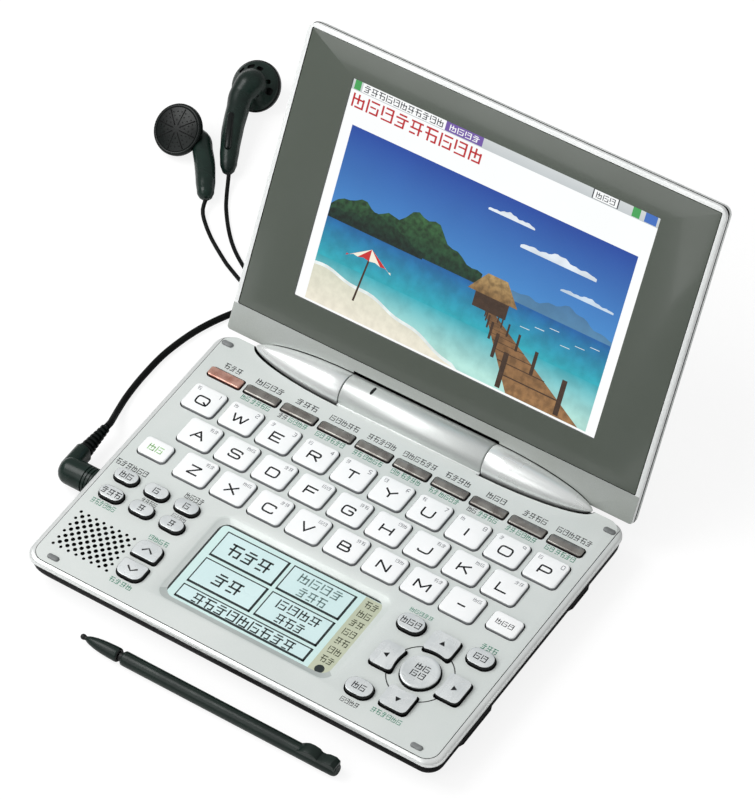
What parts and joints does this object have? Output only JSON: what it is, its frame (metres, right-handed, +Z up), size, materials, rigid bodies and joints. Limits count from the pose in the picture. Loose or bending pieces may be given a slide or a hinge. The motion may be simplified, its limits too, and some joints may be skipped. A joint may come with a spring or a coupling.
{
  "type": "electronic dictionary",
  "caption": "Pocket electronic dictionary: hinged lid with a wide colour screen, small keyboard, touch panel beside round controls, stylus, and earphones plugged into its left side.",
  "frame": {"origin": "centre of the base's flat underside; the rubber feet stand 0.8 mm below it", "axes": "+X to the user's right along the hinge, +Y from the user to the hinge, +Z up; the lid rests open 121.5 degrees from closed"},
  "size_m": [0.2142, 0.2116, 0.0965],
  "materials": {
    "satin_silver_plastic": "satin",
    "black_plastic": "fine grain",
    "white_key_plastic": "satin",
    "taupe_key_plastic": "satin",
    "copper_key_plastic": "satin metallic",
    "silver_key_plastic": "satin metallic",
    "touch_screen_film": "anti-glare",
    "window_acrylic": "gloss",
    "colour_display": "gloss",
    "grey_rubber": "matte",
    "steel": "plain",
    "circuit_board": "matte",
    "battery_wrap": "shrink wrap",
    "earphone_plastic": "satin",
    "earphone_cord": "satin",
    "stylus_plastic": "satin"
  },
  "bodies": {
    "base": {"base_top_cover": "satin_silver_plastic", "base_bottom_case": "black_plastic", "battery_pack": "battery_wrap", "main_board": "circuit_board", "key_mat": "grey_rubber", "speaker_unit": "steel", "touch_display": "colour_display", "touch_glass": "touch_screen_film", "earphone_socket": "black_plastic", "hinge_shaft": "steel", "foot_front_left": "grey_rubber", "foot_back_left": "grey_rubber", "foot_front_right": "grey_rubber", "foot_back_right": "grey_rubber", "screw_front_left": "steel", "screw_front_right": "steel", "screw_back_left": "steel", "screw_back_right": "steel", "plug_body": "earphone_plastic", "plug_pin": "steel", "cord_lead": "earphone_cord", "cord_coil": "earphone_cord", "coil_tie": "grey_rubber", "cord_splitter": "earphone_plastic", "cord_left": "earphone_cord", "cord_right": "earphone_cord", "earbud_left_shell": "earphone_plastic", "earbud_left_grille": "grey_rubber", "earbud_right_shell": "earphone_plastic", "earbud_right_grille": "grey_rubber"},
    "lid": {"lid_back_cover": "satin_silver_plastic", "lid_front_frame": "satin_silver_plastic", "lid_window": "window_acrylic", "main_display": "colour_display"},
    "battery_door": {"battery_cover": "black_plastic"},
    "stylus": {"stylus_barrel": "stylus_plastic", "stylus_tip": "stylus_plastic"},
    "arrow_key_up": {"arrow_key_up": "silver_key_plastic"},
    "arrow_key_down": {"arrow_key_down": "silver_key_plastic"},
    "arrow_key_left": {"arrow_key_left": "silver_key_plastic"},
    "arrow_key_right": {"arrow_key_right": "silver_key_plastic"},
    "enter_key": {"enter_key": "silver_key_plastic"},
    "oval_key_note": {"oval_key_note": "silver_key_plastic"},
    "oval_key_voice": {"oval_key_voice": "silver_key_plastic"},
    "oval_key_louder": {"oval_key_louder": "silver_key_plastic"},
    "oval_key_quieter": {"oval_key_quieter": "silver_key_plastic"},
    "oval_key_larger": {"oval_key_larger": "silver_key_plastic"},
    "oval_key_smaller": {"oval_key_smaller": "silver_key_plastic"},
    "oval_key_jump": {"oval_key_jump": "silver_key_plastic"},
    "oval_key_delete": {"oval_key_delete": "silver_key_plastic"},
    "oval_key_back": {"oval_key_back": "silver_key_plastic"},
    "page_up_key": {"page_up_key": "silver_key_plastic"},
    "page_down_key": {"page_down_key": "silver_key_plastic"},
    "letter_keys_top": {"letter_keys_top": "white_key_plastic"},
    "letter_keys_middle": {"letter_keys_middle": "white_key_plastic"},
    "letter_keys_bottom": {"letter_keys_bottom": "white_key_plastic"},
    "function_key": {"function_key": "white_key_plastic"},
    "clear_key": {"clear_key": "white_key_plastic"},
    "power_key": {"power_key": "copper_key_plastic"},
    "function_row_keys": {"function_row_keys": "taupe_key_plastic"}
  },
  "joints": [
    {"name": "lid_hinge", "type": "hinge", "parent": "base", "child": "lid", "pos_m": [0, 0.05031, 0.01056], "axis": [1, 0, 0], "range_deg": [-28.5, 121.5]},
    {"name": "battery_door_slide", "type": "slide", "parent": "base", "child": "battery_door", "axis": [0, 1, 0], "range_m": [0, 0.006]},
    {"name": "stylus_lift", "type": "slide", "parent": "base", "child": "stylus", "axis": [0, 0, 1], "range_m": [0, 0.06]},
    {"name": "arrow_key_up_press", "type": "slide", "parent": "base", "child": "arrow_key_up", "axis": [0, 0, -1], "range_m": [0, 0.0005], "stiffness_N_per_m": 1000, "springref_m": -0.0005},
    {"name": "arrow_key_down_press", "type": "slide", "parent": "base", "child": "arrow_key_down", "axis": [0, 0, -1], "range_m": [0, 0.0005], "stiffness_N_per_m": 1000, "springref_m": -0.0005},
    {"name": "arrow_key_left_press", "type": "slide", "parent": "base", "child": "arrow_key_left", "axis": [0, 0, -1], "range_m": [0, 0.0005], "stiffness_N_per_m": 1000, "springref_m": -0.0005},
    {"name": "arrow_key_right_press", "type": "slide", "parent": "base", "child": "arrow_key_right", "axis": [0, 0, -1], "range_m": [0, 0.0005], "stiffness_N_per_m": 1000, "springref_m": -0.0005},
    {"name": "enter_key_press", "type": "slide", "parent": "base", "child": "enter_key", "axis": [0, 0, -1], "range_m": [0, 0.0005], "stiffness_N_per_m": 1000, "springref_m": -0.0005},
    {"name": "oval_key_note_press", "type": "slide", "parent": "base", "child": "oval_key_note", "axis": [0, 0, -1], "range_m": [0, 0.0005], "stiffness_N_per_m": 1000, "springref_m": -0.0005},
    {"name": "oval_key_voice_press", "type": "slide", "parent": "base", "child": "oval_key_voice", "axis": [0, 0, -1], "range_m": [0, 0.0005], "stiffness_N_per_m": 1000, "springref_m": -0.0005},
    {"name": "oval_key_louder_press", "type": "slide", "parent": "base", "child": "oval_key_louder", "axis": [0, 0, -1], "range_m": [0, 0.0005], "stiffness_N_per_m": 1000, "springref_m": -0.0005},
    {"name": "oval_key_quieter_press", "type": "slide", "parent": "base", "child": "oval_key_quieter", "axis": [0, 0, -1], "range_m": [0, 0.0005], "stiffness_N_per_m": 1000, "springref_m": -0.0005},
    {"name": "oval_key_larger_press", "type": "slide", "parent": "base", "child": "oval_key_larger", "axis": [0, 0, -1], "range_m": [0, 0.0005], "stiffness_N_per_m": 1000, "springref_m": -0.0005},
    {"name": "oval_key_smaller_press", "type": "slide", "parent": "base", "child": "oval_key_smaller", "axis": [0, 0, -1], "range_m": [0, 0.0005], "stiffness_N_per_m": 1000, "springref_m": -0.0005},
    {"name": "oval_key_jump_press", "type": "slide", "parent": "base", "child": "oval_key_jump", "axis": [0, 0, -1], "range_m": [0, 0.0005], "stiffness_N_per_m": 1000, "springref_m": -0.0005},
    {"name": "oval_key_delete_press", "type": "slide", "parent": "base", "child": "oval_key_delete", "axis": [0, 0, -1], "range_m": [0, 0.0005], "stiffness_N_per_m": 1000, "springref_m": -0.0005},
    {"name": "oval_key_back_press", "type": "slide", "parent": "base", "child": "oval_key_back", "axis": [0, 0, -1], "range_m": [0, 0.0005], "stiffness_N_per_m": 1000, "springref_m": -0.0005},
    {"name": "page_up_key_press", "type": "slide", "parent": "base", "child": "page_up_key", "axis": [0, 0, -1], "range_m": [0, 0.0005], "stiffness_N_per_m": 1000, "springref_m": -0.0005},
    {"name": "page_down_key_press", "type": "slide", "parent": "base", "child": "page_down_key", "axis": [0, 0, -1], "range_m": [0, 0.0005], "stiffness_N_per_m": 1000, "springref_m": -0.0005},
    {"name": "letter_keys_top_press", "type": "slide", "parent": "base", "child": "letter_keys_top", "axis": [0, 0, -1], "range_m": [0, 0.0005], "stiffness_N_per_m": 1000, "springref_m": -0.0005},
    {"name": "letter_keys_middle_press", "type": "slide", "parent": "base", "child": "letter_keys_middle", "axis": [0, 0, -1], "range_m": [0, 0.0005], "stiffness_N_per_m": 1000, "springref_m": -0.0005},
    {"name": "letter_keys_bottom_press", "type": "slide", "parent": "base", "child": "letter_keys_bottom", "axis": [0, 0, -1], "range_m": [0, 0.0005], "stiffness_N_per_m": 1000, "springref_m": -0.0005},
    {"name": "function_key_press", "type": "slide", "parent": "base", "child": "function_key", "axis": [0, 0, -1], "range_m": [0, 0.0005], "stiffness_N_per_m": 1000, "springref_m": -0.0005},
    {"name": "clear_key_press", "type": "slide", "parent": "base", "child": "clear_key", "axis": [0, 0, -1], "range_m": [0, 0.0005], "stiffness_N_per_m": 1000, "springref_m": -0.0005},
    {"name": "power_key_press", "type": "slide", "parent": "base", "child": "power_key", "axis": [0, 0, -1], "range_m": [0, 0.0005], "stiffness_N_per_m": 1000, "springref_m": -0.0005},
    {"name": "function_row_keys_press", "type": "slide", "parent": "base", "child": "function_row_keys", "axis": [0, 0, -1], "range_m": [0, 0.0005], "stiffness_N_per_m": 1000, "springref_m": -0.0005}
  ]
}
